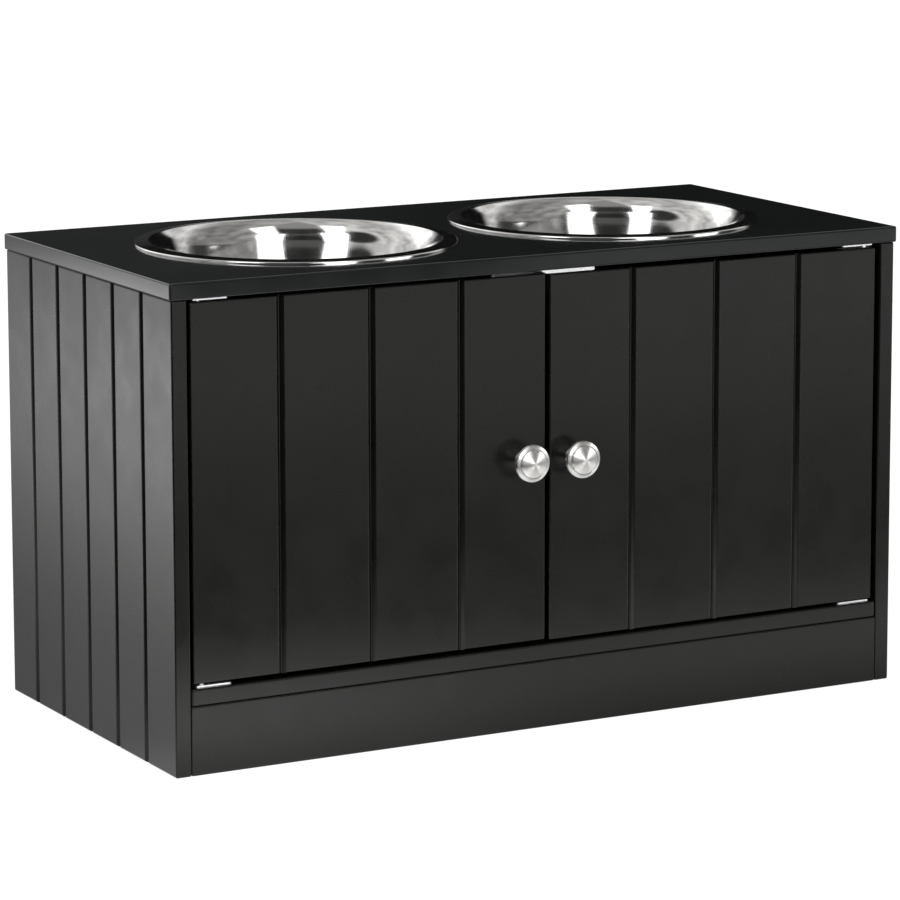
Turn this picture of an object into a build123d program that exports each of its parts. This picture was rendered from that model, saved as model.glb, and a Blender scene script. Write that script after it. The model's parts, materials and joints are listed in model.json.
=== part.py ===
from build123d import *
import os
from math import cos, hypot, radians, sin, tan

# Elevated feeder: a lacquered storage cabinet with two pivoting doors, whose top carries two
# lift-out steel bowls. Sizes are in millimetres. The origin is on the floor under the middle of
# the whole object. +X runs to the right as one faces the doors, +Y from the doors to the back.

# ---------------------------------------------------------------- driving dimensions
# Cabinet boards
top_width = 600.0
top_depth = 292.5
cabinet_height = 348.5
board = 12.0  # thickness of the painted boards
arris = 1.4  # rounding of the boards' edges
side_overhang = 1.5  # top panel past each side panel
front_overhang = 1.3
rear_overhang = 0.5
rail_corner = 3.0  # rounding of the corners at the rail's two ends
kick_height = 50.0
kick_cam_drop = 5.0  # cam joint under the kick board's middle
kick_dowel_rise = 12.0  # dowel joint over it

# Back panel, which stands in grooves of the side and top panels
back_thickness = 5.0
back_inset = 8.0  # in from the side panels' rear edges
back_engagement = 4.0  # how far its edges reach into the grooves
back_drop = 5.0  # below the bottom panel's underside
back_screw_pitch = 140.0
back_screw_margin = 60.0  # least distance from a side panel

# V-grooves that mark the boards into planks
groove_width = 7.4
groove_floor = 0.6
groove_lip = 2.0  # rounding of the groove's lips
side_plank = 48.8
side_front_plank = 49.7
side_rear_plank = 20.0  # the rearmost plank is at least this wide
door_plank = 71.5

# Doors
door_recess = 2.3  # door faces behind the side panels' front edges
swing_clearance = 0.8  # between a side panel and the door's corner as it turns past
door_meeting_gap = 3.4
hang_offset = 0.5  # the left door hangs this much high and the right one this much low
door_drop = 0.3  # both doors hang this much lower than that

# Pivot hinges in the gaps above and below each door
leaf_length = 28.0
cabinet_leaf_width = 11.0
cabinet_leaf_thickness = 1.5
door_leaf_width = 8.4
door_leaf_thickness = 0.9  # let in flush with the door's edge
leaf_tail = 6.0  # leaf past the pivot, towards the side panel
leaf_corner = 2.0
leaf_spacer = 0.2  # least space between a cabinet leaf and the door's edge
leaf_screw_first = 8.0  # along the leaf from the pivot
leaf_screw_pitch = 8.5
leaf_screw_margin = 5.5  # least distance of a screw from the leaf's end
pivot_inset = 8.0  # pivot in from the door's outer edge
pin_radius = 1.5
pin_head_radius = 2.8
pin_head_height = 0.9
pin_shoulder_radius = 2.6
pin_peen_radius = 2.1
pin_peen_height = 0.7
pin_relief = 0.6  # room around and past the pin's ends in the wood

# Countersunk wood screws
screw_radius = 1.5
screw_head_radius = 2.7
screw_head_height = 0.8
screw_tip = 2.0
screw_recess = 0.5
screw_length = 9.0
back_screw_length = 16.0

# Cam joints and dowels between the boards
cam_radius = 7.4
cam_depth = 9.0
cam_setback = 24.0  # cam centre from the joint
cam_bolt_radius = 2.5
cam_bolt_head_radius = 3.3
cam_thread = 8.0  # bolt's hold in the other board
cam_front_row = 24.0  # rows of joints in from the side panels' front and rear edges
cam_rear_row = 28.0
dowel_radius = 3.0
dowel_offset = 36.0  # dowel joints from the cam joints, towards the panels' middle
dowel_hold = 7.0  # in the board that holds the bolts
dowel_reach = 18.0  # in the board that holds the cams

# Door stop bracket with its magnets, and strike plates on the doors
stop_thickness = 2.8
stop_tongue = 40.0  # length of the tongue over the right door
stop_tongue_start = -1.0  # X of the left end of its underside
stop_tongue_ramp = 5.4  # length of the slope under its left end
stop_tongue_setback = 0.4  # tongue's front edge behind the doors' faces
stop_lip_length = 78.0
stop_lip_drop = 20.0  # below the top panel
stop_flange = 12.0  # behind the lip
stop_screw_reach = 30.0  # X of the outer screws
stop_corner = 3.6  # rounding of the lip's lower corners
strike_width = 15.0
strike_height = 24.0
strike_thickness = 0.9
strike_corner = 2.0
strike_top_margin = 3.0
strike_screw_spacing = 17.0
magnet_radius = 5.0
magnet_thickness = 3.0
magnet_gap = 0.4
magnet_margin = 1.0  # over the lip's lower edge

# Knobs
knob_inset = 19.3  # from the door's meeting edge
knob_radius = 13.5
knob_length = 20.0
knob_collar_radius = 6.2
knob_collar_length = 2.0
knob_neck_lean = 12.0  # degrees outwards where the neck leaves the collar
knob_rim_width = 2.4
knob_face_height = 3.6  # from the rim to the disc's middle
knob_dish = 2.2  # how far the disc's middle stands proud of its edge
knob_disc_inset = 3.2  # disc's edge in from the rim
knob_rim_slope = 2.1  # width of the rim's sloping face
knob_edge = 0.5
knob_thread_radius = 2.0
knob_thread_depth = 8.0
knob_screw_engagement = 7.0
knob_screw_head_radius = 4.0
knob_screw_head_height = 2.4
knob_screw_slot = 1.0

# Bowls
bowl_gap = 24.0  # between the two rims
bowl_rim_radius = 118.5
bowl_flange_width = 10.8
bowl_flange_slope = 5.5  # degrees, falling outwards
bowl_lip_radius = 1.0
bowl_lip_height = 0.6
bowl_depth = 55.0
bowl_thickness = 0.8
bowl_wall_slope = 72.0  # degrees at its steepest
bowl_shoulder_slope = 35.0  # degrees where the wall leaves the flange
bowl_shoulder_radius = 27.5
bowl_belly_radius = 44.0
cutout_clearance = 2.8  # cut-out past the bowl's wall at the flange

# Clearances
fit_gap = 0.05  # around fasteners and pins in their holes
panel_gap = 0.15  # around the back panel in its grooves
running_gap = 0.1  # along the pins, beside the door leaves
overrun = 1.0  # how far a cut runs past the face that it opens

# ---------------------------------------------------------------- derived places
knob_standout = knob_length - door_recess - front_overhang
rear_y = (top_depth + knob_standout) / 2
top_front_y = rear_y - top_depth
top_mid_y = rear_y - top_depth / 2
side_front_y = top_front_y + front_overhang
side_rear_y = rear_y - rear_overhang
side_depth = side_rear_y - side_front_y
side_outer_x = top_width / 2 - side_overhang
side_inner_x = side_outer_x - board
side_mid_x = side_outer_x - board / 2
side_groove_run = side_depth - side_front_plank - side_rear_plank
side_groove_count = 1 + int(side_groove_run // side_plank)

top_underside = cabinet_height - board
bottom_top = kick_height + board
bottom_mid_z = kick_height + board / 2
back_rear_y = side_rear_y - back_inset
back_front_y = back_rear_y - back_thickness
back_screw_count = 1 + int(2 * (side_inner_x - back_screw_margin) // back_screw_pitch)

door_clearance = cabinet_leaf_thickness + leaf_spacer + hang_offset + door_drop  # mean gap
door_height = top_underside - bottom_top - 2 * door_clearance
door_side_gap = hypot(pivot_inset, board / 2) - pivot_inset + swing_clearance
door_width = side_inner_x - door_side_gap - door_meeting_gap / 2
door_groove_count = int(door_width // door_plank)
door_mid_x = (door_meeting_gap + door_width) / 2
door_front_y = side_front_y + door_recess
door_mid_y = door_front_y + board / 2
door_back_y = door_front_y + board
pivot_x = side_inner_x - door_side_gap - pivot_inset
knob_x = door_meeting_gap / 2 + knob_inset
knob_rim_end = knob_length - knob_face_height
knob_disc_radius = knob_radius - knob_disc_inset

leaf_screw_run = leaf_length - leaf_tail - leaf_screw_first - leaf_screw_margin
leaf_screw_count = 1 + int(leaf_screw_run // leaf_screw_pitch)
leaf_screw_places = [leaf_screw_first + n * leaf_screw_pitch for n in range(leaf_screw_count)]

# The doors close on the magnets, which stand on the front of the bracket's lip.
stop_flat_front_y = door_back_y + strike_thickness
stop_lip_front_y = stop_flat_front_y + magnet_gap + magnet_thickness
stop_lip_rear_y = stop_lip_front_y + stop_thickness
stop_flat_rear_y = stop_lip_rear_y + stop_flange
magnet_z = top_underside - stop_lip_drop + magnet_margin + magnet_radius

bowl_x = bowl_rim_radius + bowl_gap / 2
bowl_crease_radius = bowl_rim_radius - bowl_flange_width
cutout_radius = bowl_crease_radius + cutout_clearance

LEFT, RIGHT = -1, 1
TOP, BOTTOM = 1, -1
SIDES = ((LEFT, "left"), (RIGHT, "right"))
cam_rows = (side_front_y + cam_front_row, side_rear_y - cam_rear_row)
dowel_rows = (cam_rows[0] + dowel_offset, cam_rows[1] - dowel_offset)


def door_mid_z(side):
    """Height of a door's middle: the left door hangs high and the right one low."""
    return (top_underside + bottom_top) / 2 - side * hang_offset - door_drop


def door_gap(side, end):
    """Gap above or below one door."""
    return door_clearance + end * (side * hang_offset + door_drop)


# ---------------------------------------------------------------- frames of joints and hinges
def top_joints(side, rows):
    """Joints of the top panel on one side panel. In each joint frame +Z runs into the board
    that holds the cam, and +X to the face that the cam opens on."""
    return [
        Plane((side * side_mid_x, y, top_underside), x_dir=(-side, 0, 0), z_dir=(0, 0, -1))
        for y in rows
    ]


def bottom_joints(side, rows):
    """Joints of the bottom panel on one side panel."""
    return [
        Plane((side * side_inner_x, y, bottom_mid_z), x_dir=(0, 0, -1), z_dir=(-side, 0, 0))
        for y in rows
    ]


def kick_joint(side, height):
    """Joint of the kick board on one side panel."""
    origin = (side * side_inner_x, side_front_y + board / 2, height)
    return Plane(origin, x_dir=(0, 1, 0), z_dir=(-side, 0, 0))


def side_cams(side):
    """Cam joints whose bolts are in a side panel."""
    return bottom_joints(side, cam_rows) + [kick_joint(side, kick_height / 2 - kick_cam_drop)]


def side_dowels(side):
    """Dowel joints between a side panel and the boards that it carries between its faces."""
    return bottom_joints(side, dowel_rows) + [kick_joint(side, kick_height / 2 + kick_dowel_rise)]


def hinge_frame(side, end):
    """Pivot of one hinge on the cabinet board: +Z into the gap and +X along the leaves."""
    height = top_underside if end == TOP else bottom_top
    return Plane((side * pivot_x, door_mid_y, height), x_dir=(-side, 0, 0), z_dir=(0, 0, -end))


def strike_frame(side):
    """Middle of a strike plate on its door's back: +Z out of the door."""
    top_z = door_mid_z(side) + door_height / 2 - strike_top_margin
    height = top_z - strike_height / 2
    return Plane((side * stop_lip_length / 4, door_back_y, height), x_dir=(-1, 0, 0), z_dir=(0, 1, 0))


def knob_frame(side):
    """Middle of a knob's seat on its door's face: +Z out of the door."""
    origin = (side * knob_x, door_front_y, door_mid_z(side))
    return Plane(origin, x_dir=(1, 0, 0), z_dir=(0, -1, 0))


def back_screw_frames():
    """Screws through the back panel into the bottom panel's rear edge: +Z out of the head."""
    places = [
        (n - (back_screw_count - 1) / 2) * back_screw_pitch for n in range(back_screw_count)
    ]
    return [Plane((x, back_rear_y, bottom_mid_z), x_dir=(1, 0, 0), z_dir=(0, 1, 0)) for x in places]


def stop_screw_frames():
    """Screws of the door stop bracket up into the top panel: +Z out of the head."""
    x_places = (-stop_screw_reach, stop_screw_reach)
    y = stop_lip_rear_y + stop_flange / 2
    z = top_underside - stop_thickness
    return [Plane((x, y, z), x_dir=(1, 0, 0), z_dir=(0, 0, -1)) for x in x_places]


# ---------------------------------------------------------------- shapes used more than once
def post(start, end, radius, mode=Mode.ADD):
    """Adds or cuts a round bar along the current frame's Z axis."""
    with Locations((0, 0, (start + end) / 2)):
        Cylinder(radius, end - start, mode=mode)


def wood_screw(length):
    """Adds a countersunk cross-head screw whose head is flush with the current frame."""
    with Locations((0, 0, -screw_head_height / 2)):
        Cone(screw_radius, screw_head_radius, screw_head_height)
    post(-(length - screw_tip), -screw_head_height, screw_radius)
    with Locations((0, 0, -length + screw_tip / 2)):
        Cone(screw_radius / 4, screw_radius, screw_tip)
    with Locations((0, 0, -screw_recess / 2)):
        Box(screw_recess, 2 * screw_radius, screw_recess, mode=Mode.SUBTRACT)
        Box(2 * screw_radius, screw_recess, screw_recess, mode=Mode.SUBTRACT)


def screw_hole(length):
    """Cuts the hole and countersink of a wood screw through whatever it passes."""
    head = screw_head_height + fit_gap
    with Locations((0, 0, -head / 2)):
        Cone(screw_radius + fit_gap, screw_head_radius + fit_gap, head, mode=Mode.SUBTRACT)
    post(-length - fit_gap, -screw_head_height, screw_radius + fit_gap, Mode.SUBTRACT)


def cut_groove(start, inward, along, length):
    """Cuts a V-groove with rounded lips, from start on the board's face down the groove."""
    half = groove_width / 2
    lip_turn = 45
    lip_drop = groove_lip * (1 - cos(radians(lip_turn)))
    flank = half - groove_floor / 2 - groove_lip * sin(radians(lip_turn))
    clear = board / 4
    plane = Plane(start, x_dir=Vector(inward).cross(Vector(along)), z_dir=along)
    with BuildSketch(plane) as groove:
        with BuildLine():
            lip = JernArc((-half, 0), (1, 0), groove_lip, lip_turn)
            slope = Line(lip @ 1, (-groove_floor / 2, lip_drop + flank))
            Polyline(slope @ 1, (0, lip_drop + flank), (0, -clear), (-half, -clear), (-half, 0))
        make_face()
        mirror(about=Plane.YZ)
    extrude(groove.sketch, amount=length, mode=Mode.SUBTRACT)


def cut_cam_pockets(frames):
    """Cuts the cam pockets and the bolt bores in the board that holds the cams."""
    with Locations(*frames):
        post(-fit_gap, cam_setback + cam_bolt_radius, cam_bolt_head_radius + 4 * fit_gap, Mode.SUBTRACT)
        pocket_mid_x = board / 2 - (cam_depth - overrun) / 2
        with Locations(Location((pocket_mid_x, 0, cam_setback), (0, 90, 0))):
            Cylinder(cam_radius + fit_gap, cam_depth + overrun, mode=Mode.SUBTRACT)


def cut_dowel_reaches(frames):
    """Cuts the dowel bores in the board that holds the cams."""
    with Locations(*frames):
        post(-fit_gap, dowel_reach + fit_gap, dowel_radius + fit_gap, Mode.SUBTRACT)


def cut_bolt_and_dowel_holds(bolt_frames, dowel_frames):
    """Cuts the bores in the board that holds the cam bolts' threads."""
    with Locations(*bolt_frames):
        post(-cam_thread - fit_gap, fit_gap, cam_bolt_radius + fit_gap, Mode.SUBTRACT)
    with Locations(*dowel_frames):
        post(-dowel_hold - fit_gap, fit_gap, dowel_radius + fit_gap, Mode.SUBTRACT)


def cut_hinge_seats(side):
    """Cuts what one side's cabinet leaves need in the board they are screwed to."""
    for end in (TOP, BOTTOM):
        with Locations(hinge_frame(side, end)):
            relief = pin_head_height + pin_relief
            post(-relief, fit_gap, pin_head_radius + pin_relief, Mode.SUBTRACT)
            with Locations(*[(x, 0, cabinet_leaf_thickness) for x in leaf_screw_places]):
                screw_hole(screw_length)


# ---------------------------------------------------------------- cabinet boards
os.makedirs("parts", exist_ok=True)


def save(part, name):
    part.label = name
    export_step(part, f"parts/{name}.step")


# Top panel, with the two cut-outs that the bowls hang in
with BuildPart() as top_panel:
    with BuildSketch(Plane.XY.offset(top_underside)):
        with Locations((0, top_mid_y)):
            Rectangle(top_width, top_depth)
    extrude(amount=board)
    fillet(top_panel.edges(), arris)
    with BuildSketch(Plane.XY.offset(top_underside)):
        with Locations((-bowl_x, top_mid_y), (bowl_x, top_mid_y)):
            Circle(cutout_radius)
    extrude(amount=board, mode=Mode.SUBTRACT)
    cutout_edges = top_panel.edges().filter_by(GeomType.CIRCLE).filter_by(
        lambda edge: abs(edge.radius - cutout_radius) < fit_gap
    )
    fillet(cutout_edges, arris / 2)
    with Locations((0, (back_front_y + back_rear_y) / 2, top_underside + back_engagement / 2)):
        Box(
            2 * (side_inner_x + back_engagement + panel_gap),
            back_thickness + 2 * panel_gap,
            back_engagement + 2 * panel_gap,
            mode=Mode.SUBTRACT,
        )
    for side, name in SIDES:
        cut_bolt_and_dowel_holds(top_joints(side, cam_rows), top_joints(side, dowel_rows))
        cut_hinge_seats(side)
    with Locations(*stop_screw_frames()):
        screw_hole(screw_length)
save(top_panel.part, "top_panel")

# Side panels, grooved outside, with the cams of the top panel in their inner faces
for side, name in SIDES:
    with BuildPart() as side_panel:
        with BuildSketch():
            with Locations((side * side_mid_x, side_front_y + side_depth / 2)):
                Rectangle(board, side_depth)
        extrude(amount=top_underside)
        fillet(side_panel.edges(), arris)
        for n in range(side_groove_count):
            groove_y = side_front_y + side_front_plank + n * side_plank
            cut_groove((side * side_outer_x, groove_y, 0), (-side, 0, 0), (0, 0, 1), cabinet_height)
        with BuildSketch():
            with Locations((side * side_inner_x, (back_front_y + back_rear_y) / 2)):
                Rectangle(2 * (back_engagement + panel_gap), back_thickness + 2 * panel_gap)
        extrude(amount=top_underside, mode=Mode.SUBTRACT)
        cut_cam_pockets(top_joints(side, cam_rows))
        cut_dowel_reaches(top_joints(side, dowel_rows))
        cut_bolt_and_dowel_holds(side_cams(side), side_dowels(side))
    save(side_panel.part, f"{name}_side_panel")

# Bottom panel, whose front edge is the rail under the doors
with BuildPart() as bottom_panel:
    bottom_depth = back_front_y - side_front_y
    with BuildSketch(Plane.XY.offset(kick_height)):
        with Locations((0, side_front_y + bottom_depth / 2)):
            Rectangle(2 * side_inner_x, bottom_depth)
    extrude(amount=board)
    rail_corners = bottom_panel.edges().filter_by(Axis.Z).group_by(Axis.Y)[0]
    fillet(rail_corners, rail_corner)
    fillet(bottom_panel.faces().sort_by(Axis.Z)[0].edges(), arris)
    fillet(bottom_panel.faces().sort_by(Axis.Z)[-1].edges(), arris)
    for side, name in SIDES:
        cut_cam_pockets(bottom_joints(side, cam_rows))
        cut_dowel_reaches(bottom_joints(side, dowel_rows))
        cut_hinge_seats(side)
    with Locations(*back_screw_frames()):
        screw_hole(back_screw_length)
save(bottom_panel.part, "bottom_panel")

# Kick board, flush with the side panels' front edges
with BuildPart() as kick_board:
    with BuildSketch():
        with Locations((0, side_front_y + board / 2)):
            Rectangle(2 * side_inner_x, board)
    extrude(amount=kick_height)
    fillet(kick_board.edges(), arris)
    for side, name in SIDES:
        cut_cam_pockets([kick_joint(side, kick_height / 2 - kick_cam_drop)])
        cut_dowel_reaches([kick_joint(side, kick_height / 2 + kick_dowel_rise)])
save(kick_board.part, "kick_board")

# Back panel
with BuildPart() as back_panel:
    back_low_z = kick_height - back_drop
    with BuildSketch(Plane.XY.offset(back_low_z)):
        with Locations((0, (back_front_y + back_rear_y) / 2)):
            Rectangle(2 * (side_inner_x + back_engagement), back_thickness)
    extrude(amount=top_underside + back_engagement - back_low_z)
    with Locations(*back_screw_frames()):
        screw_hole(back_screw_length)
save(back_panel.part, "back_panel")

# ---------------------------------------------------------------- cabinet fasteners
all_cams = [
    frame
    for side, name in SIDES
    for frame in top_joints(side, cam_rows) + side_cams(side)
]
all_dowels = [
    frame
    for side, name in SIDES
    for frame in top_joints(side, dowel_rows) + side_dowels(side)
]

with BuildPart() as cam_locks:
    cam_face = board / 2 - 2 * fit_gap
    cam_length = cam_depth - 4 * fit_gap
    with Locations(*all_cams):
        with Locations(Location((cam_face - cam_length / 2, 0, cam_setback), (0, 90, 0))):
            Cylinder(cam_radius, cam_length)
        channel_end = cam_setback + cam_bolt_radius
        channel_radius = cam_bolt_head_radius + 4 * fit_gap
        post(cam_setback - 2 * cam_radius, channel_end, channel_radius, Mode.SUBTRACT)
        with Locations((cam_face, 0, cam_setback)):
            Box(cam_bolt_radius, cam_radius, cam_bolt_radius / 2, mode=Mode.SUBTRACT)
            Box(cam_bolt_radius, cam_bolt_radius / 2, cam_radius, mode=Mode.SUBTRACT)
save(cam_locks.part, "cam_locks")

with BuildPart() as cam_bolts:
    with Locations(*all_cams):
        post(-cam_thread, cam_setback - cam_bolt_radius, cam_bolt_radius)
        post(0, cam_bolt_radius / 2, cam_bolt_head_radius)
        post(cam_setback - cam_bolt_radius, cam_setback + cam_bolt_radius / 2, cam_bolt_head_radius)
save(cam_bolts.part, "cam_bolts")

with BuildPart() as wood_dowels:
    with Locations(*all_dowels):
        post(-dowel_hold, dowel_reach, dowel_radius)
    chamfer(wood_dowels.edges().filter_by(GeomType.CIRCLE), dowel_radius / 5)
save(wood_dowels.part, "wood_dowels")

with BuildPart() as back_panel_screws:
    with Locations(*back_screw_frames()):
        wood_screw(back_screw_length)
save(back_panel_screws.part, "back_panel_screws")

# ---------------------------------------------------------------- door stop bracket and magnets
with BuildPart() as door_stop_bracket:
    flat_depth = stop_flat_rear_y - stop_flat_front_y
    tongue_front_y = door_front_y + stop_tongue_setback
    with BuildSketch(Plane.XY.offset(top_underside)):
        with Locations((0, stop_flat_front_y + flat_depth / 2)):
            Rectangle(stop_lip_length, flat_depth)
        tongue_depth = stop_flat_front_y - tongue_front_y
        tongue_length = stop_tongue + stop_tongue_ramp
        tongue_mid_x = stop_tongue_start - stop_tongue_ramp + tongue_length / 2
        with Locations((tongue_mid_x, tongue_front_y + tongue_depth / 2)):
            Rectangle(tongue_length, tongue_depth)
    extrude(amount=-stop_thickness)
    ramp_corner = (stop_tongue_start, tongue_front_y, top_underside - stop_thickness)
    with BuildSketch(Plane(ramp_corner, x_dir=(1, 0, 0), z_dir=(0, -1, 0))):
        Polygon((0, 0), (-stop_tongue_ramp, stop_thickness), (-stop_tongue_ramp, 0), align=None)
    extrude(amount=-tongue_depth, mode=Mode.SUBTRACT)
    with BuildSketch(Plane.XY.offset(top_underside)):
        with Locations((0, stop_lip_front_y + stop_thickness / 2)):
            Rectangle(stop_lip_length, stop_thickness)
    extrude(amount=-stop_lip_drop)
    lip_corners = door_stop_bracket.edges().filter_by(Axis.Y).group_by(Axis.Z)[0]
    fillet(lip_corners, stop_corner)
    with Locations(*stop_screw_frames()):
        screw_hole(screw_length)
save(door_stop_bracket.part, "door_stop_bracket")

with BuildPart() as stop_bracket_screws:
    with Locations(*stop_screw_frames()):
        wood_screw(screw_length)
save(stop_bracket_screws.part, "stop_bracket_screws")

with BuildPart() as catch_magnets:
    magnet_places = [(side * stop_lip_length / 4, stop_lip_front_y, magnet_z) for side, name in SIDES]
    with Locations(*[Plane(p, x_dir=(1, 0, 0), z_dir=(0, -1, 0)) for p in magnet_places]):
        post(0, magnet_thickness, magnet_radius)
    chamfer(catch_magnets.edges().group_by(Axis.Y)[0], magnet_thickness / 8)
save(catch_magnets.part, "catch_magnets")

# ---------------------------------------------------------------- hinges, doors and knobs
for side, name in SIDES:
    # Cabinet leaves, screwed under the top panel and on the bottom panel
    with BuildPart() as cabinet_leaves:
        with Locations(hinge_frame(side, TOP), hinge_frame(side, BOTTOM)):
            with Locations((leaf_length / 2 - leaf_tail, 0, cabinet_leaf_thickness / 2)):
                Box(leaf_length, cabinet_leaf_width, cabinet_leaf_thickness)
        fillet(cabinet_leaves.edges().filter_by(Axis.Z), leaf_corner)
        with Locations(hinge_frame(side, TOP), hinge_frame(side, BOTTOM)):
            post(-overrun, cabinet_leaf_thickness + overrun, pin_radius + fit_gap, Mode.SUBTRACT)
            with Locations(*[(x, 0, cabinet_leaf_thickness) for x in leaf_screw_places]):
                screw_hole(screw_length)
    save(cabinet_leaves.part, f"{name}_cabinet_hinge_leaves")

    with BuildPart() as cabinet_leaf_screws:
        with Locations(hinge_frame(side, TOP), hinge_frame(side, BOTTOM)):
            with Locations(*[(x, 0, cabinet_leaf_thickness) for x in leaf_screw_places]):
                wood_screw(screw_length)
    save(cabinet_leaf_screws.part, f"{name}_cabinet_hinge_screws")

    # Pins, riveted to the cabinet leaves, with a shoulder that spaces the two leaves and a
    # peened end past the door leaf
    with BuildPart() as hinge_pins:
        for end in (TOP, BOTTOM):
            gap = door_gap(side, end)
            peen_start = gap + door_leaf_thickness + running_gap
            with Locations(hinge_frame(side, end)):
                post(-pin_head_height, 0, pin_head_radius)
                post(0, peen_start, pin_radius)
                post(cabinet_leaf_thickness, gap - running_gap, pin_shoulder_radius)
                post(peen_start, peen_start + pin_peen_height, pin_peen_radius)
    save(hinge_pins.part, f"{name}_hinge_pins")

    # Door panel, grooved on its face, hung from the pins' holes in the door leaves
    with BuildPart() as door_panel:
        with BuildSketch(Plane.XY.offset(door_mid_z(side) - door_height / 2)):
            with Locations((side * door_mid_x, door_mid_y)):
                Rectangle(door_width, board)
        extrude(amount=door_height)
        fillet(door_panel.edges(), arris)
        for n in range(door_groove_count):
            offset_x = (n - (door_groove_count - 1) / 2) * door_plank
            groove_start = (side * door_mid_x + offset_x, door_front_y, 0)
            cut_groove(groove_start, (0, 1, 0), (0, 0, 1), cabinet_height)
        for end in (TOP, BOTTOM):
            gap = door_gap(side, end)
            with BuildSketch(hinge_frame(side, end).offset(gap)):
                with Locations((leaf_length / 2 - leaf_tail, 0)):
                    seat_size = (leaf_length + 2 * fit_gap, door_leaf_width + 2 * fit_gap)
                    RectangleRounded(*seat_size, leaf_corner + fit_gap)
            extrude(amount=door_leaf_thickness, mode=Mode.SUBTRACT)
            with Locations(hinge_frame(side, end)):
                relief = gap + door_leaf_thickness + running_gap + pin_peen_height + pin_relief
                post(gap, relief, pin_peen_radius + pin_relief, Mode.SUBTRACT)
                with Locations(*[Location((x, 0, gap), (180, 0, 0)) for x in leaf_screw_places]):
                    screw_hole(screw_length)
        with Locations(knob_frame(side)):
            post(-board - overrun, overrun, knob_thread_radius + fit_gap, Mode.SUBTRACT)
        with Locations(strike_frame(side)):
            for offset_z in (-strike_screw_spacing / 2, strike_screw_spacing / 2):
                with Locations((0, offset_z, strike_thickness)):
                    screw_hole(screw_length)
    save(door_panel.part, f"{name}_door_panel")

    # Door leaves, screwed into their seats in the door's top and bottom edges
    with BuildPart() as door_leaves:
        for end in (TOP, BOTTOM):
            with Locations(hinge_frame(side, end)):
                leaf_mid_z = door_gap(side, end) + door_leaf_thickness / 2
                with Locations((leaf_length / 2 - leaf_tail, 0, leaf_mid_z)):
                    Box(leaf_length, door_leaf_width, door_leaf_thickness)
        fillet(door_leaves.edges().filter_by(Axis.Z), leaf_corner)
        for end in (TOP, BOTTOM):
            gap = door_gap(side, end)
            with Locations(hinge_frame(side, end)):
                leaf_end = gap + door_leaf_thickness + overrun
                post(gap - overrun, leaf_end, pin_radius + fit_gap, Mode.SUBTRACT)
                with Locations(*[Location((x, 0, gap), (180, 0, 0)) for x in leaf_screw_places]):
                    screw_hole(screw_length)
    save(door_leaves.part, f"{name}_door_hinge_leaves")

    with BuildPart() as door_leaf_screws:
        for end in (TOP, BOTTOM):
            gap = door_gap(side, end)
            with Locations(hinge_frame(side, end)):
                with Locations(*[Location((x, 0, gap), (180, 0, 0)) for x in leaf_screw_places]):
                    wood_screw(screw_length)
    save(door_leaf_screws.part, f"{name}_door_hinge_screws")

    # Strike plate on the door's back, in front of the magnet
    with BuildPart() as strike_plate:
        with Locations(strike_frame(side)):
            with Locations((0, 0, strike_thickness / 2)):
                Box(strike_width, strike_height, strike_thickness)
        fillet(strike_plate.edges().filter_by(Axis.Y), strike_corner)
        with Locations(strike_frame(side)):
            for offset_z in (-strike_screw_spacing / 2, strike_screw_spacing / 2):
                with Locations((0, offset_z, strike_thickness)):
                    screw_hole(screw_length)
    save(strike_plate.part, f"{name}_strike_plate")

    with BuildPart() as strike_screws:
        with Locations(strike_frame(side)):
            for offset_z in (-strike_screw_spacing / 2, strike_screw_spacing / 2):
                with Locations((0, offset_z, strike_thickness)):
                    wood_screw(screw_length)
    save(strike_screws.part, f"{name}_strike_screws")

    # Turned knob: a collar, a neck that flares to the rim, and a stepped disc on its face
    with BuildPart() as knob:
        seat = knob_frame(side)
        profile_plane = Plane(seat.origin, x_dir=(1, 0, 0), z_dir=(0, 0, -1))
        with BuildSketch(profile_plane):
            with BuildLine():
                neck_start = (knob_collar_radius, knob_collar_length)
                neck_end = (knob_radius, knob_rim_end - knob_rim_width)
                neck_lean = (sin(radians(knob_neck_lean)), cos(radians(knob_neck_lean)))
                Polyline((0, 0), (knob_collar_radius, 0), neck_start)
                TangentArc([neck_start, neck_end], tangent=neck_lean)
                Polyline(
                    neck_end,
                    (knob_radius, knob_rim_end),
                    (knob_radius - knob_rim_slope, knob_rim_end + knob_edge),
                    (knob_disc_radius, knob_rim_end + knob_edge),
                    (knob_disc_radius, knob_length - knob_dish),
                    (0, knob_length),
                    (0, 0),
                )
            make_face()
        revolve(axis=Axis(seat.origin, (0, -1, 0)))
        with Locations(seat):
            post(-overrun, knob_thread_depth, knob_thread_radius + fit_gap, Mode.SUBTRACT)
        rim_edges = knob.edges().filter_by(GeomType.CIRCLE).filter_by(
            lambda edge: abs(edge.radius - knob_radius) < fit_gap
        )
        fillet(rim_edges, knob_edge)
    save(knob.part, f"{name}_door_knob")

    with BuildPart() as knob_screw:
        with Locations(knob_frame(side)):
            post(-board, knob_screw_engagement, knob_thread_radius)
            post(-board - knob_screw_head_height, -board, knob_screw_head_radius)
        head_edge = knob_screw.edges().group_by(Axis.Y)[-1]
        fillet(head_edge, knob_screw_head_height / 2)
        with Locations(knob_frame(side)):
            with Locations((0, 0, -board - knob_screw_head_height)):
                Box(knob_screw_head_radius, knob_screw_slot, knob_screw_head_height, mode=Mode.SUBTRACT)
                Box(knob_screw_slot, knob_screw_head_radius, knob_screw_head_height, mode=Mode.SUBTRACT)
    save(knob_screw.part, f"{name}_knob_screw")

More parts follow.
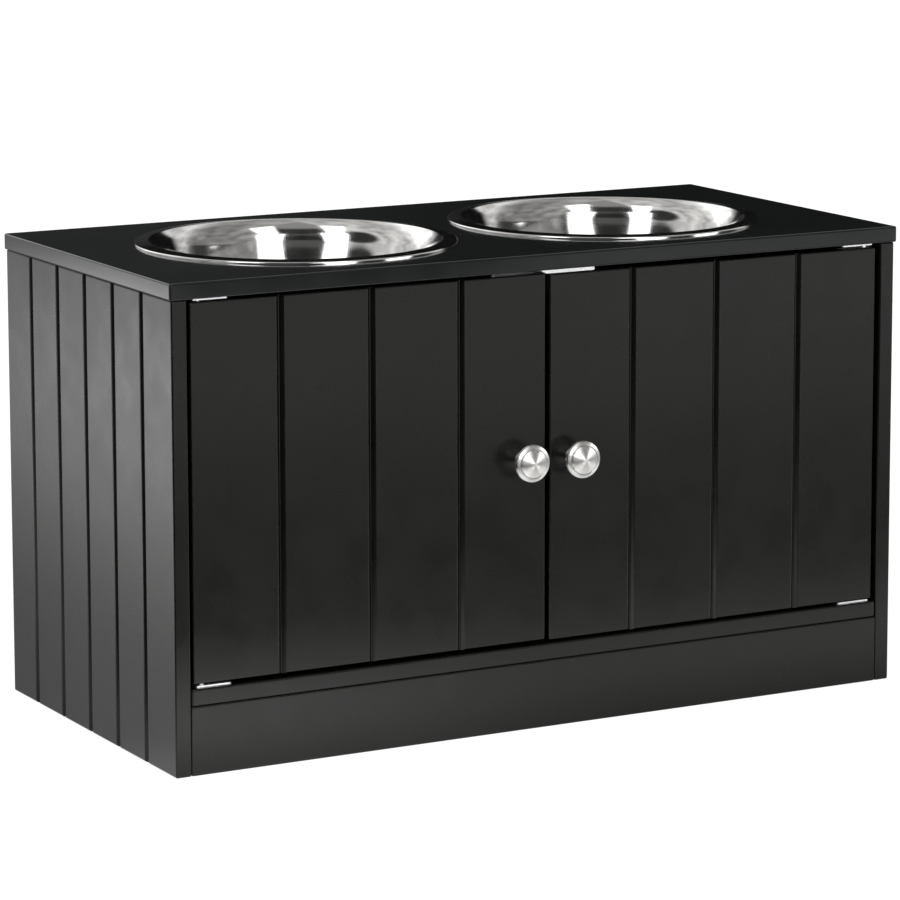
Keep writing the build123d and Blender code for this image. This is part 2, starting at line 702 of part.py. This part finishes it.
# ---------------------------------------------------------------- bowls
# Spun steel bowl: the rim's turned-down lip stands on the top panel, the flange rises to a
# crease, the wall rolls over to its steepest slope and a round belly leads to the flat floor.
shoulder_drop = bowl_shoulder_radius * (
    cos(radians(bowl_shoulder_slope)) - cos(radians(bowl_wall_slope))
)
belly_drop = bowl_belly_radius * (1 - cos(radians(bowl_wall_slope)))
wall_length = (bowl_depth - shoulder_drop - belly_drop) / sin(radians(bowl_wall_slope))

for side, name in SIDES:
    with BuildPart() as bowl:
        origin = (side * bowl_x, top_mid_y, cabinet_height)
        with BuildSketch(Plane(origin, x_dir=(1, 0, 0), z_dir=(0, -1, 0))):
            with BuildLine():
                lip = Line((bowl_rim_radius, 0), (bowl_rim_radius, bowl_lip_height))
                rim = JernArc(lip @ 1, (0, 1), bowl_lip_radius, 90 - bowl_flange_slope)
                run = (rim @ 1).X - bowl_crease_radius
                crease = (bowl_crease_radius, (rim @ 1).Y + run * tan(radians(bowl_flange_slope)))
                Line(rim @ 1, crease)
                inward = (-cos(radians(bowl_shoulder_slope)), -sin(radians(bowl_shoulder_slope)))
                shoulder_turn = bowl_wall_slope - bowl_shoulder_slope
                shoulder = JernArc(crease, inward, bowl_shoulder_radius, shoulder_turn)
                wall = Line(shoulder @ 1, shoulder @ 1 + (shoulder % 1) * wall_length)
                belly = JernArc(wall @ 1, wall % 1, bowl_belly_radius, -bowl_wall_slope)
                Line(belly @ 1, (0, (belly @ 1).Y))
                offset(amount=bowl_thickness, side=Side.LEFT)
            make_face()
        revolve(axis=Axis(origin, (0, 0, 1)))
    save(bowl.part, f"{name}_bowl")
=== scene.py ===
import json
from math import atan2, cos, degrees, hypot, pi, radians, sin, tan

import bpy
from mathutils import Matrix, Vector


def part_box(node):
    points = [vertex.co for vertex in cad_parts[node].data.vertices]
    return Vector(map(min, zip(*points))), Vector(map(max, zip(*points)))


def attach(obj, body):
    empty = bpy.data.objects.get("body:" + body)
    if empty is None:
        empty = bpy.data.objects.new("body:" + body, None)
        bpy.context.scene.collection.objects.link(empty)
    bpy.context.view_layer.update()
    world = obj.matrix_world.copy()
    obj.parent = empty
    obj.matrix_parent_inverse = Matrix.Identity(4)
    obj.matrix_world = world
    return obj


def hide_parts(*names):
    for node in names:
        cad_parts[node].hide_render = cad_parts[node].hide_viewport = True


# Looks of a raised pet feeder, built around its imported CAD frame. Sizes are in metres.
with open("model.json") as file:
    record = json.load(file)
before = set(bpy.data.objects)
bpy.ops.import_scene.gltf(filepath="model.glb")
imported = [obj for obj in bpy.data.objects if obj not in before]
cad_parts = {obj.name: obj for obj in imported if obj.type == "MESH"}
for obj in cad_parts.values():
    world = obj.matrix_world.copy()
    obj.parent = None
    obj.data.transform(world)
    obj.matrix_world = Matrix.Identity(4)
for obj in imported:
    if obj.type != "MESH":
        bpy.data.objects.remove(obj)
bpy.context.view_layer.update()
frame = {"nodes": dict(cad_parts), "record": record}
nodes = frame["nodes"]
scene = bpy.context.scene
scene.view_settings.view_transform = "Standard"

# ---------------------------------------------------------------- camera
CAMERA_PLACE = Vector((-1.4796, -2.7038, 0.7713))
CAMERA_AZIMUTH = radians(-28.578)  # from straight in front of the doors
CAMERA_PITCH = radians(8.964)  # looking down
CAMERA_ROLL = radians(-0.106)
CAMERA_LENS = 167.04  # millimetres
CAMERA_SENSOR = 36.0  # millimetres
CAMERA_SHIFT = -0.15  # of the frame's height, which keeps the upright edges nearly parallel


def add_camera():
    data = bpy.data.cameras.new("camera")
    data.sensor_width = CAMERA_SENSOR
    data.lens = CAMERA_LENS
    data.shift_y = CAMERA_SHIFT
    camera = bpy.data.objects.new("camera", data)
    camera.location = CAMERA_PLACE
    turn = Matrix.Rotation(CAMERA_AZIMUTH, 3, "Z") @ Matrix.Rotation(pi / 2 - CAMERA_PITCH, 3, "X")
    camera.rotation_euler = (turn @ Matrix.Rotation(CAMERA_ROLL, 3, "Z")).to_euler()
    scene.collection.objects.link(camera)
    scene.camera = camera


add_camera()


# ---------------------------------------------------------------- node helpers
class Nodes:
    """Short ways to add nodes to a node tree."""

    def __init__(self, tree):
        self.tree = tree

    def add(self, kind, **settings):
        node = self.tree.nodes.new(kind)
        for key, value in settings.items():
            setattr(node, key, value)
        return node

    def link(self, source, target):
        self.tree.links.new(source, target)

    def feed(self, value, target):
        """Links a socket, or sets a number."""
        if isinstance(value, (int, float)):
            target.default_value = value
        else:
            self.link(value, target)

    def spread(self, value, low, high, start=0.3, end=0.7, kind="LINEAR"):
        """Maps start and end, between which most noise lies, to low and high."""
        node = self.add("ShaderNodeMapRange", interpolation_type=kind)
        node.inputs["From Min"].default_value = start
        node.inputs["From Max"].default_value = end
        self.feed(low, node.inputs["To Min"])
        self.feed(high, node.inputs["To Max"])
        self.link(value, node.inputs["Value"])
        return node.outputs["Result"]

    def ease(self, value, start, end, low=0.0, high=1.0):
        """Turns softly from low to high as the value goes from start to end."""
        return self.spread(value, low, high, start, end, "SMOOTHSTEP")

    def mix(self, share, first, second):
        """The first value where share is 0, and the second where it is 1."""
        return self.spread(share, first, second, 0.0, 1.0)

    def math(self, operation, *values):
        node = self.add("ShaderNodeMath", operation=operation)
        for value, socket in zip(values, node.inputs):
            self.feed(value, socket)
        return node.outputs["Value"]

    def times(self, value, factor):
        return self.math("MULTIPLY", value, factor)

    def vector(self, operation, vector, other=None, output="Vector"):
        """Result of an operation on a vector socket and, if given, a constant."""
        node = self.add("ShaderNodeVectorMath", operation=operation)
        self.link(vector, node.inputs[0])
        if other is not None:
            node.inputs[1].default_value = other
        return node.outputs[output]

    def along(self, vector, direction):
        """How far a vector reaches along a unit direction."""
        return self.vector("DOT_PRODUCT", vector, direction, "Value")

    def length(self, vector):
        return self.vector("LENGTH", vector, output="Value")


class Material(Nodes):
    """A node material with one Principled shader."""

    def __init__(self, name):
        self.material = bpy.data.materials.new(name)
        self.material.use_nodes = True
        super().__init__(self.material.node_tree)
        self.shader = self.tree.nodes["Principled BSDF"]
        self.place = self.add("ShaderNodeTexCoord").outputs["Object"]

    def set(self, **values):
        """Sets sockets of the shader, with _ for a space."""
        for key, value in values.items():
            self.shader.inputs[key.replace("_", " ")].default_value = value

    def drive(self, **sources):
        """Links sources to sockets of the shader, with _ for a space."""
        for key, source in sources.items():
            self.link(source, self.shader.inputs[key.replace("_", " ")])

    def noise(self, scale, detail, stretch=(1, 1, 1)):
        """Noise over the piece, with scale in features per metre, stretched along each axis."""
        mapping = self.add("ShaderNodeMapping")
        mapping.inputs["Scale"].default_value = stretch
        self.link(self.place, mapping.inputs["Vector"])
        texture = self.add("ShaderNodeTexNoise")
        texture.inputs["Scale"].default_value = scale
        texture.inputs["Detail"].default_value = detail
        self.link(mapping.outputs["Vector"], texture.inputs["Vector"])
        return texture.outputs["Fac"]

    def tones(self, value, dark, light, start=0.35, end=0.65):
        """Colours between dark and light as the value goes from start to end."""
        ramp = self.add("ShaderNodeValToRGB")
        ramp.color_ramp.elements[0].position = start
        ramp.color_ramp.elements[0].color = (*dark, 1)
        ramp.color_ramp.elements[1].position = end
        ramp.color_ramp.elements[1].color = (*light, 1)
        self.link(value, ramp.inputs["Fac"])
        return ramp.outputs["Color"]

    def relief(self, height, depth, normal=None):
        """A bump whose height from 0 to 1 is depth metres."""
        bump = self.add("ShaderNodeBump")
        bump.inputs["Distance"].default_value = depth
        self.link(height, bump.inputs["Height"])
        if normal:
            self.link(normal, bump.inputs["Normal"])
        return bump.outputs["Normal"]


# ---------------------------------------------------------------- materials
LACQUER_IOR = 1.42


def lacquer(name, dark, light, roughness):
    """Sprayed black lacquer: roughness and tone drift a little, over a faint orange peel."""
    m = Material(name)
    waves = m.relief(m.noise(scale=14, detail=1), depth=0.00006)
    m.drive(
        Base_Color=m.tones(m.noise(scale=9, detail=4), dark, light),
        Roughness=m.spread(m.noise(scale=35, detail=3), *roughness),
        Normal=m.relief(m.noise(scale=420, detail=2), depth=0.000003, normal=waves),
    )
    m.set(IOR=LACQUER_IOR)
    return m.material


def plated_steel(name, dark, light, roughness):
    """Zinc with a fine grain."""
    m = Material(name)
    m.drive(
        Base_Color=m.tones(m.noise(scale=900, detail=3), dark, light),
        Roughness=m.spread(m.noise(scale=1500, detail=2), *roughness),
        Normal=m.relief(m.noise(scale=2400, detail=2), depth=0.00003),
    )
    m.set(Metallic=1.0)
    return m.material


def beech():
    """Dowel wood, with its grain along the dowel's length."""
    m = Material("beech")
    grain = m.noise(scale=300, detail=5, stretch=(0.08, 1, 1))
    m.drive(
        Base_Color=m.tones(grain, (0.5, 0.33, 0.18), (0.72, 0.52, 0.32)),
        Normal=m.relief(grain, depth=0.0001),
    )
    m.set(Roughness=0.7)
    return m.material


def polished_steel():
    """Spun and polished stainless steel, with faint rings round the bowl's axis."""
    m = Material("polished_steel")
    rings = m.add("ShaderNodeTexNoise", noise_dimensions="1D")
    rings.inputs["Scale"].default_value = 1500
    m.link(m.length(m.vector("MULTIPLY", m.place, (1, 1, 0))), rings.inputs["W"])
    m.drive(
        Base_Color=m.tones(m.noise(scale=30, detail=3), (0.70, 0.69, 0.67), (0.80, 0.79, 0.77)),
        Roughness=m.spread(m.noise(scale=120, detail=4), 0.08, 0.12),
        Normal=m.relief(rings.outputs["Fac"], depth=0.0000006),
    )
    m.set(Metallic=1.0)
    return m.material


def turned_nickel():
    """Turned knob metal, whose fine rings round the knob's axis spread the highlights."""
    m = Material("turned_nickel")
    m.drive(
        Base_Color=m.tones(m.noise(scale=400, detail=3), (0.84, 0.83, 0.80), (0.92, 0.91, 0.88)),
        Roughness=m.spread(m.noise(scale=800, detail=2), 0.3, 0.34),
        Tangent=m.add("ShaderNodeTangent", direction_type="RADIAL", axis="Z").outputs["Tangent"],
    )
    m.set(Metallic=1.0, Anisotropic=1.0, Anisotropic_Rotation=0.25)
    return m.material


satin_black = lacquer("satin_black", (0.0036, 0.0047, 0.0024), (0.0056, 0.0069, 0.0042), (0.25, 0.31))
gloss_black = lacquer("gloss_black", (0.0122, 0.0150, 0.0136), (0.0158, 0.0190, 0.0174), (0.08, 0.11))
zinc = plated_steel("zinc", (0.86, 0.87, 0.88), (0.97, 0.97, 0.98), (0.3, 0.42))
dark_zinc = plated_steel("dark_zinc", (0.35, 0.35, 0.36), (0.55, 0.55, 0.56), (0.35, 0.5))
steel = polished_steel()
nickel = turned_nickel()
slots = {
    "top_lacquer": gloss_black,
    "lacquer": satin_black,
    "mirror_steel": steel,
    "brushed_nickel": nickel,
    "zinc_steel": zinc,
    "screw_steel": zinc,
    "cast_zinc": dark_zinc,
    "magnet": dark_zinc,
    "beech": beech(),
}
for entry in frame["record"]["subparts"]:
    node = nodes[entry["node"]]
    node.data.materials.clear()
    node.data.materials.append(slots[entry["material_slot"]])


# ---------------------------------------------------------------- turned pieces
SHARP_ANGLE = radians(35)


def trace(start, heading, moves, step):
    """Follows a profile from start. Each move is a straight run (length, 0) or an arc
    (radius, turn), with angles in degrees, left turns positive. Gives points and headings."""
    x, y = start
    points, headings = [(x, y)], [heading]
    for size, turn in moves:
        # an arc is a row of chords, and a straight run is one
        count = max(2, round(abs(turn) / step)) if turn else 1
        chord = 2 * size * sin(radians(abs(turn) / count / 2)) if turn else size
        for _ in range(count):
            heading += turn / count / 2
            x, y = x + chord * cos(radians(heading)), y + chord * sin(radians(heading))
            heading += turn / count / 2
            points.append((x, y))
            headings.append(heading)
    return points, headings


def offset(points, headings, distance):
    """The same profile, moved to its left by distance."""
    return [
        (x - distance * sin(radians(heading)), y + distance * cos(radians(heading)))
        for (x, y), heading in zip(points, headings)
    ]


def lathe(name, profile, sides, material):
    """Turns a profile of (radius, height) points round Z. Points on the axis close the ends."""
    vertices, rings = [], []
    for radius, height in profile:
        count = sides if radius else 1
        ring = range(len(vertices), len(vertices) + count)
        angles = [2 * pi * n / count for n in range(count)]
        vertices += [(radius * cos(angle), radius * sin(angle), height) for angle in angles]
        rings.append(ring if radius else list(ring) * sides)
    faces = []
    for low, high in zip(rings, rings[1:]):
        for n in range(sides):
            after = (n + 1) % sides
            faces.append(list(dict.fromkeys((low[n], low[after], high[after], high[n]))))
    mesh = bpy.data.meshes.new(name)
    mesh.from_pydata(vertices, [], faces)
    mesh.polygons.foreach_set("use_smooth", [True] * len(faces))
    mesh.materials.append(material)
    mesh.update()
    mesh.set_sharp_from_angle(angle=SHARP_ANGLE)
    piece = bpy.data.objects.new(name, mesh)
    scene.collection.objects.link(piece)
    return piece


# ---------------------------------------------------------------- bowls
# Slopes are in degrees, falling outwards on the flange and inwards below it.
BOWL_THICKNESS = 0.0008
LIP_HEIGHT = 0.0006
LIP_RADIUS = 0.001
FLANGE_WIDTH = 0.0108
FLANGE_SLOPE = 5.5
CREASE_RADIUS = 0.002
SHOULDER_SLOPE = 35.0
SHOULDER_RADIUS = 0.0275
WALL_START_SLOPE = 76.0
WALL_END_SLOPE = 68.0
BELLY_RADIUS = 0.044
BOWL_ARC_STEP = 2
BOWL_SIDES = 240


def add_bowl(side):
    """A thin bowl with a rolled lip, in the CAD bowl's box. Its wall takes the room left over."""
    node = f"{side}_bowl"
    low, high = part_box(node)
    rim_radius = (high.x - low.x) / 2
    depth = high.z - low.z - BOWL_THICKNESS
    lip_rise = LIP_HEIGHT + LIP_RADIUS * cos(radians(FLANGE_SLOPE))
    flange_rise = (FLANGE_WIDTH - LIP_RADIUS) * tan(radians(FLANGE_SLOPE))
    crease_run = CREASE_RADIUS * tan(radians((SHOULDER_SLOPE + FLANGE_SLOPE) / 2))
    flange = (FLANGE_WIDTH - LIP_RADIUS) / cos(radians(FLANGE_SLOPE)) - crease_run
    shoulder_drop = SHOULDER_RADIUS * (cos(radians(SHOULDER_SLOPE)) - cos(radians(WALL_START_SLOPE)))
    belly_drop = BELLY_RADIUS * (1 - cos(radians(WALL_END_SLOPE)))
    wall_drop = depth - shoulder_drop - belly_drop
    wall_radius = wall_drop / (cos(radians(WALL_END_SLOPE)) - cos(radians(WALL_START_SLOPE)))
    moves = [
        (LIP_HEIGHT, 0),
        (LIP_RADIUS, 90 - FLANGE_SLOPE),
        (flange, 0),
        (CREASE_RADIUS, FLANGE_SLOPE + SHOULDER_SLOPE),
        (SHOULDER_RADIUS, WALL_START_SLOPE - SHOULDER_SLOPE),
        (wall_radius, WALL_END_SLOPE - WALL_START_SLOPE),
        (BELLY_RADIUS, -WALL_END_SLOPE),
    ]
    points, headings = trace((rim_radius, 0), 90, moves, BOWL_ARC_STEP)
    inside = points + [(0, points[-1][1])]
    outside = offset(points, headings, BOWL_THICKNESS)
    outside = [(0, outside[-1][1])] + outside[::-1]
    bowl = lathe(f"{side}_steel_bowl", outside + inside, BOWL_SIDES, steel)
    seat_z = high.z - lip_rise - flange_rise
    bowl.location = ((low.x + high.x) / 2, (low.y + high.y) / 2, seat_z)
    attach(bowl, node)
    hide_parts(node)


# ---------------------------------------------------------------- knobs
KNOB_COLLAR_RADIUS = 0.0062
KNOB_COLLAR_LENGTH = 0.002
KNOB_NECK_LEAN = 12  # degrees from the axis where the neck leaves the collar
KNOB_RIM_WIDTH = 0.0024
KNOB_RIM_DEPTH = 0.0036  # rim behind the knob's middle
KNOB_RIM_ROUND = 0.0005
KNOB_RIM_TURN = 80  # degrees that the rim's front edge turns before the bevel
KNOB_BEVEL = 0.0021  # from the rim's outer edge to the flat round the groove
KNOB_BEVEL_RISE = 0.0005
KNOB_GROOVE_DEPTH = 0.0007
KNOB_GROOVE_MOUTH = 0.0007
KNOB_GROOVE_FLOOR = 0.0005
KNOB_DISH = 0.0022
KNOB_DISC_INSET = 0.0032
KNOB_DISC_ROUND = 0.0004
KNOB_NECK_STEP = 4
KNOB_RIM_STEP = 20
KNOB_SIDES = 160


def knob_neck(radius, rim_start):
    """One arc from the collar's end to the rim."""
    widening, length = radius - KNOB_COLLAR_RADIUS, rim_start - KNOB_COLLAR_LENGTH
    turn = 2 * (atan2(widening, length) - radians(KNOB_NECK_LEAN))
    arc = (hypot(widening, length) / 2 / sin(turn / 2), -degrees(turn))
    neck, _ = trace((KNOB_COLLAR_RADIUS, KNOB_COLLAR_LENGTH), 90 - KNOB_NECK_LEAN, [arc], KNOB_NECK_STEP)
    return neck


def add_knob(side):
    """A waisted knob, whose face is a domed disc in a grooved rim."""
    node = f"{side}_door_knob"
    low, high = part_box(node)
    radius, length = (high.x - low.x) / 2, high.y - low.y
    rim_end = length - KNOB_RIM_DEPTH
    rim_start = rim_end - KNOB_RIM_WIDTH
    rim_flat = KNOB_RIM_WIDTH - 2 * KNOB_RIM_ROUND
    rim_moves = [(KNOB_RIM_ROUND, 90), (rim_flat, 0), (KNOB_RIM_ROUND, KNOB_RIM_TURN)]
    rim, _ = trace((radius - KNOB_RIM_ROUND, rim_start), 0, rim_moves, KNOB_RIM_STEP)
    disc = radius - KNOB_DISC_INSET
    disc_edge = length - KNOB_DISH
    face = [
        (radius - KNOB_BEVEL, rim_end + KNOB_BEVEL_RISE),
        (disc + KNOB_GROOVE_MOUTH, rim_end + KNOB_BEVEL_RISE),
        (disc + KNOB_GROOVE_FLOOR, rim_end - KNOB_GROOVE_DEPTH),
        (disc, rim_end - KNOB_GROOVE_DEPTH),
        (disc, disc_edge - KNOB_DISC_ROUND),
        (disc - KNOB_DISC_ROUND / 4, disc_edge - KNOB_DISC_ROUND / 4),
        (disc - KNOB_DISC_ROUND, disc_edge + KNOB_DISC_ROUND / 4),
        (0, length),
    ]
    profile = [(0, 0), (KNOB_COLLAR_RADIUS, 0)] + knob_neck(radius, rim_start) + rim + face
    knob = lathe(f"{side}_turned_knob", profile, KNOB_SIDES, nickel)
    knob.location = ((low.x + high.x) / 2, high.y, (low.z + high.z) / 2)
    knob.rotation_euler = (pi / 2, 0, 0)
    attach(knob, f"{side}_door")
    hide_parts(node)


for side in ("left", "right"):
    add_bowl(side)
    add_knob(side)


# ---------------------------------------------------------------- directions
def toward_azimuth(azimuth, elevation=0.0):
    """Unit direction, with the azimuth in degrees from straight in front, to the right."""
    level = cos(radians(elevation))
    return Vector((level * sin(radians(azimuth)), -level * cos(radians(azimuth)), sin(radians(elevation))))


def facing(m, vector, azimuth, elevation, *fade):
    """A fade over the cosine between a unit vector and a direction."""
    return m.ease(m.along(vector, toward_azimuth(azimuth, elevation)), *fade)


# ---------------------------------------------------------------- floor
FLOOR_SIZE = 60.0
FLOOR_TONE = 0.45  # for all rays but the glossy ones
FLOOR_WHITE = 0.82  # glow for the camera, which with the lamps' light makes white

# Painted light and shade on the floor, a glow that only reflections see: painted pools of light, painted
# shade near the object, a painted dark sector and a painted dark streak. A fade gives where it starts and
# ends, in metres from the floor's middle, and its value before and after.
NEAR_LIGHT = (0.12, 0.36, 0.52, 1.36)
NEAR_GAIN = (-0.12, 0.24, 1.05, 2.05)  # towards the left
NEAR_END = (0.32, 0.44)
FRONT_SHADE = 0.27
FAR_LIGHT = (0.9, 1.8, 0.0, 1.55)
FAR_END = (1.91, 2.07, 1.0, 0.4)
FRONT_CUT = (0.36, 0.52, 1.0, 0.08)  # towards the left
SECTOR = (-40, 0, 0.7, 0.9)  # azimuth, elevation, and the cosines to them where it starts and is full
SECTOR_REACH = (0.4, 0.65, 0.0, 0.85)
STREAK_MIDDLE = -0.04
STREAK_SPREAD = (0.05, 0.38, 1.0, 0.0)
STREAK_REACH = (1.91, 2.07, 0.0, 0.97)
ACROSS_AZIMUTH = 113  # along which the streak's and the back shade's places are counted
LEFT_LIGHT = (0.42, 1.15, 0.76, 4.3)
LEFT_END = (1.17, 1.26, 1.0, 0.3)
BACK_SHADE = (0.4, 0.9, 0.5, 0.15)  # share of the painted left light that is left under the painted back shade
BACK_SHADE_EDGE = (-0.38, -0.1)
SIDE_EDGE = (-0.15, 0.0)  # from the front's light to the left's, counted backwards


def front_light(m, left, across):
    """Painted light on the floor ahead: bright near the object and far away, with painted shade close to
    the object, a painted dark sector on the left and a painted dark streak far away.
    """
    forward = m.math("ABSOLUTE", m.along(m.place, (0, -1, 0)))
    near = m.times(m.ease(forward, *NEAR_LIGHT), m.ease(left, *NEAR_GAIN))
    near = m.ease(forward, *NEAR_END, near, FRONT_SHADE)
    light = m.math("ADD", near, m.ease(forward, *FAR_LIGHT))
    light = m.times(light, m.ease(forward, *FAR_END))
    sector = facing(m, m.vector("NORMALIZE", m.place), *SECTOR)
    sector = m.times(sector, m.ease(m.length(m.place), *SECTOR_REACH))
    light = m.times(light, m.mix(sector, 1.0, 0.0))
    streak = m.ease(m.math("ABSOLUTE", m.math("SUBTRACT", across, STREAK_MIDDLE)), *STREAK_SPREAD)
    streak = m.times(streak, m.ease(forward, *STREAK_REACH))
    light = m.times(light, m.mix(streak, 1.0, 0.0))
    return m.times(light, m.ease(left, *FRONT_CUT))


def left_light(m, left, across):
    """Painted light beside and behind on the left: brighter with distance, with painted shade at the back.
    """
    light = m.times(m.ease(left, *LEFT_LIGHT), m.ease(left, *LEFT_END))
    return m.times(light, m.ease(across, *BACK_SHADE_EDGE, 1.0, m.ease(left, *BACK_SHADE)))


def add_floor():
    """White floor, plain for the camera. Reflections see only its glow, which is painted light and shade.
    """
    mesh = bpy.data.meshes.new("floor")
    half = FLOOR_SIZE / 2
    corners = [(-half, -half, 0), (half, -half, 0), (half, half, 0), (-half, half, 0)]
    mesh.from_pydata(corners, [], [(0, 1, 2, 3)])
    floor = bpy.data.objects.new("floor", mesh)
    scene.collection.objects.link(floor)
    m = Material("floor")
    left = m.along(m.place, (-1, 0, 0))
    across = m.along(m.place, toward_azimuth(ACROSS_AZIMUTH))
    backward = m.along(m.place, (0, 1, 0))
    # painted light and shade for reflections: the front's painted light meets the left's painted light
    painted_floor_light = m.mix(m.ease(backward, *SIDE_EDGE), front_light(m, left, across), left_light(m, left, across))
    # the floor is black to glossy rays, which see only the painted glow
    path = m.add("ShaderNodeLightPath")
    glow = m.mix(path.outputs["Is Glossy Ray"], 0.0, painted_floor_light)
    m.drive(
        Base_Color=m.mix(path.outputs["Is Glossy Ray"], FLOOR_TONE, 0.0),
        Emission_Strength=m.mix(path.outputs["Is Camera Ray"], glow, FLOOR_WHITE),
    )
    m.set(Roughness=1.0, IOR=1.0, Emission_Color=(1, 1, 1, 1))
    mesh.materials.append(m.material)


# ---------------------------------------------------------------- room
# What reflections see round the object. A patch is its azimuth and elevation, the cosines to them where
# it starts and is full, and its radiance. The other fades and edges are heights, which go from -1 straight
# down to 1 straight up.
ROOM_AMBIENT = 0.5  # for all rays but the camera's and the glossy ones
ROOM_WALLS = (-0.5, 0.5, 0.75, 0.32)  # from left to right, which go from -1 to 1
DOORWAY = (-91, 34, 0.945, 0.975, 0.03)
BACK_WALL = (151, 0, 0.3, 0.6, 0.9)
BACK_GLOW = (-168, 29, 0.93, 0.99, 1.7)
LEFT_CARD = (5, 3, 0.972, 0.985, 6.0)
RIGHT_CARD = (51, 3, 0.972, 0.985, 4.5)
CLUTTER_SCALE = 6
CLUTTER_CONTRAST = (0.5, 1.3)
DARK_SIDE = (-29, 0, 0.7, 0.82)  # azimuth, elevation, and the cosines where it starts and is full
DARK_SIDE_LOW = 0.1
# start, end and radiance above
DARK_SIDE_BANDS = ((0.4, 0.45, 0.02), (0.62, 0.66, 0.07), (0.7, 0.74, 0.03), (0.86, 0.93, 0.3))
CARD_GAP = (29, 0, 0.5, 0.7)  # between the cards
CARD_GAP_TOP = (0.29, 0.33, 1.0, 0.0)
CARD_GAP_LIGHT = 0.05
FLAG_OUTSIDE = (138, 0, 0.72, 0.86, 1.0, 0.0)
FLAG_LOWER_LIGHT = (0.4, 0.5, 0.03, 0.005)  # from left to right
FLAG_MIDDLE = (0.16, 0.2)
FLAG_UPPER_LIGHT = 0.004
FLAG_TOP = (0.4, 0.47)


def add_world():
    """White for the camera. Reflections see a dim studio with a dark flag low behind on the right."""
    world = bpy.data.worlds.new("studio")
    world.use_nodes = True
    w = Nodes(world.node_tree)
    place = w.add("ShaderNodeTexCoord").outputs["Generated"]
    x, height = w.along(place, (1, 0, 0)), w.along(place, (0, 0, 1))
    around = w.vector("NORMALIZE", w.vector("MULTIPLY", place, (1, 1, 0)))
    room = w.ease(x, *ROOM_WALLS)
    for *patch, radiance in (DOORWAY, BACK_WALL, BACK_GLOW):
        room = w.mix(facing(w, place, *patch), room, radiance)
    clutter = w.add("ShaderNodeTexNoise")
    clutter.inputs["Scale"].default_value = CLUTTER_SCALE
    clutter.inputs["Detail"].default_value = 4
    w.link(place, clutter.inputs["Vector"])
    room = w.times(room, w.spread(clutter.outputs["Fac"], *CLUTTER_CONTRAST))
    dark_side = DARK_SIDE_LOW
    for start, end, radiance in DARK_SIDE_BANDS:
        dark_side = w.ease(height, start, end, dark_side, radiance)
    room = w.mix(facing(w, around, *DARK_SIDE), room, dark_side)
    card_gap = w.times(facing(w, around, *CARD_GAP), w.ease(height, *CARD_GAP_TOP))
    room = w.mix(card_gap, room, CARD_GAP_LIGHT)
    for *card, radiance in (LEFT_CARD, RIGHT_CARD):
        room = w.mix(facing(w, place, *card), room, radiance)
    flag = w.ease(height, *FLAG_MIDDLE, w.ease(x, *FLAG_LOWER_LIGHT), FLAG_UPPER_LIGHT)
    low = w.mix(facing(w, place, *FLAG_OUTSIDE), flag, room)
    room = w.mix(w.ease(height, *FLAG_TOP), low, room)
    path = w.add("ShaderNodeLightPath")
    light = w.mix(path.outputs["Is Glossy Ray"], ROOM_AMBIENT, room)
    light = w.mix(path.outputs["Is Camera Ray"], light, 1.0)
    w.link(light, w.tree.nodes["Background"].inputs["Color"])
    scene.world = world


# ---------------------------------------------------------------- softboxes
STRIP_DISTANCE = 2.5
STRIP_AIM = Vector((0, 0, 0.3))
STRIP_RADIANCE = 2.4


def add_strip(name, start, end, width):
    """A long softbox from one direction to another, each given as azimuth and elevation."""
    first, last = toward_azimuth(*start), toward_azimuth(*end)
    away = (first + last).normalized()
    upright = (last - first).normalized()
    data = bpy.data.lights.new(name, "AREA")
    data.shape = "RECTANGLE"
    data.size = width
    data.size_y = 2 * STRIP_DISTANCE * tan(first.angle(last) / 2)
    data.energy = STRIP_RADIANCE * pi * data.size * data.size_y
    light = bpy.data.objects.new(name, data)
    turn = Matrix((upright.cross(away), upright, away)).transposed()
    light.matrix_world = Matrix.Translation(STRIP_AIM + STRIP_DISTANCE * away) @ turn.to_4x4()
    scene.collection.objects.link(light)


add_floor()
add_world()
add_strip("front_low_softbox", (-5, 21), (-3, 48), 0.98)
add_strip("front_high_softbox", (-2, 48), (25, 70), 0.6)
add_strip("left_low_softbox", (-66, 21), (-71, 48), 0.9)
add_strip("left_high_softbox", (-72, 48), (-92, 68), 0.55)
